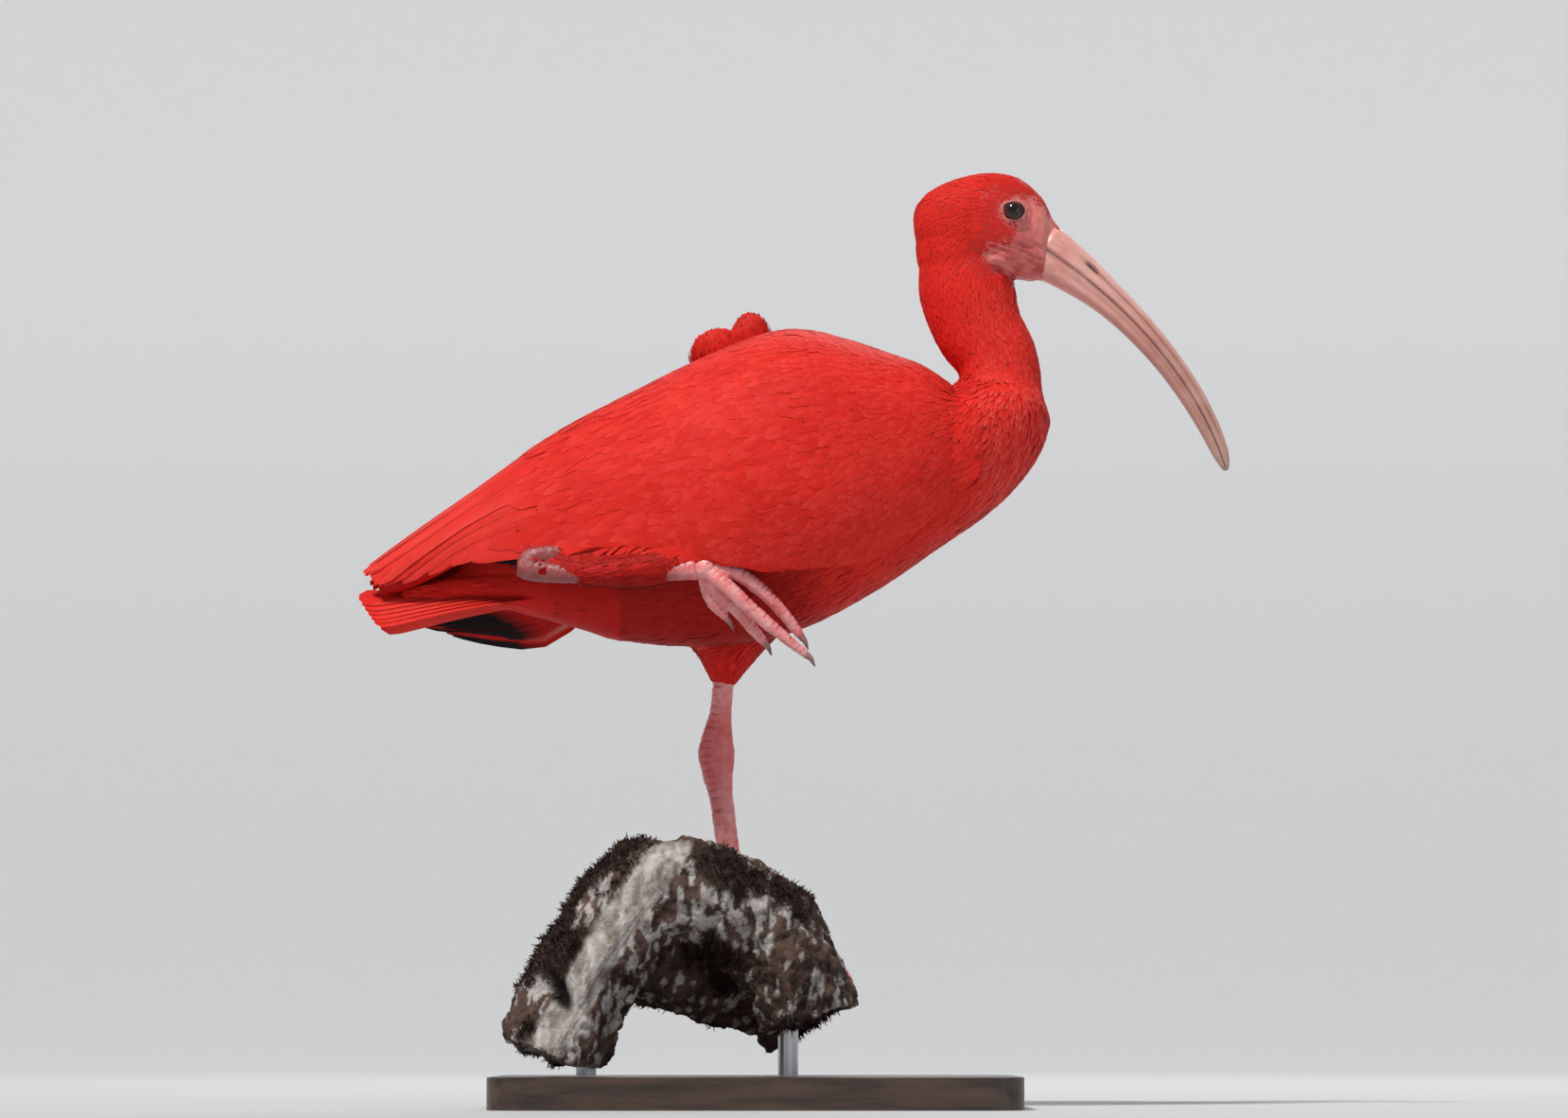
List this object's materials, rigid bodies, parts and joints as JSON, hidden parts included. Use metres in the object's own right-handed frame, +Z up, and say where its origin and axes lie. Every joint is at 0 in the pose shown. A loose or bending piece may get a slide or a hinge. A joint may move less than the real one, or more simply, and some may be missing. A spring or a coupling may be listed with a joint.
{
  "type": "scarlet ibis model",
  "caption": "Life-size scarlet ibis standing on one leg on a cut branch, its other leg drawn up, on a small display stand.",
  "frame": {"origin": "middle of the underside of the stand's base", "axes": "+X towards the way the bird faces, +Y to its left, +Z up"},
  "size_m": [0.3866, 0.15, 0.4158],
  "materials": {
    "plumage": "soft matt",
    "horn": "satin",
    "eye": "polished",
    "leg_skin": "satin",
    "claw": "satin",
    "bark": "rough bark",
    "plinth": "satin stain",
    "rod": "brushed"
  },
  "bodies": {
    "root": {"head": "plumage", "neck_upper": "plumage", "neck_lower": "plumage", "torso": "plumage", "wing_right": "plumage", "wing_left": "plumage", "tail": "plumage", "bill_upper": "horn", "bill_lower": "horn", "eye_left": "eye", "eye_right": "eye", "thigh_left": "plumage", "shin_left": "leg_skin", "shank_left": "leg_skin", "thigh_right": "plumage", "shin_right": "leg_skin", "shank_right": "leg_skin", "toe_left_hind": "leg_skin", "claw_left_hind": "claw", "toe_left_inner": "leg_skin", "claw_left_inner": "claw", "toe_left_middle": "leg_skin", "claw_left_middle": "claw", "toe_left_outer": "leg_skin", "claw_left_outer": "claw", "toe_right_hind": "leg_skin", "claw_right_hind": "claw", "toe_right_inner": "leg_skin", "claw_right_inner": "claw", "toe_right_middle": "leg_skin", "claw_right_middle": "claw", "toe_right_outer": "leg_skin", "claw_right_outer": "claw", "perch": "bark", "stand_base": "plinth", "stand_rod_1": "rod", "stand_rod_2": "rod"}
  },
  "joints": []
}
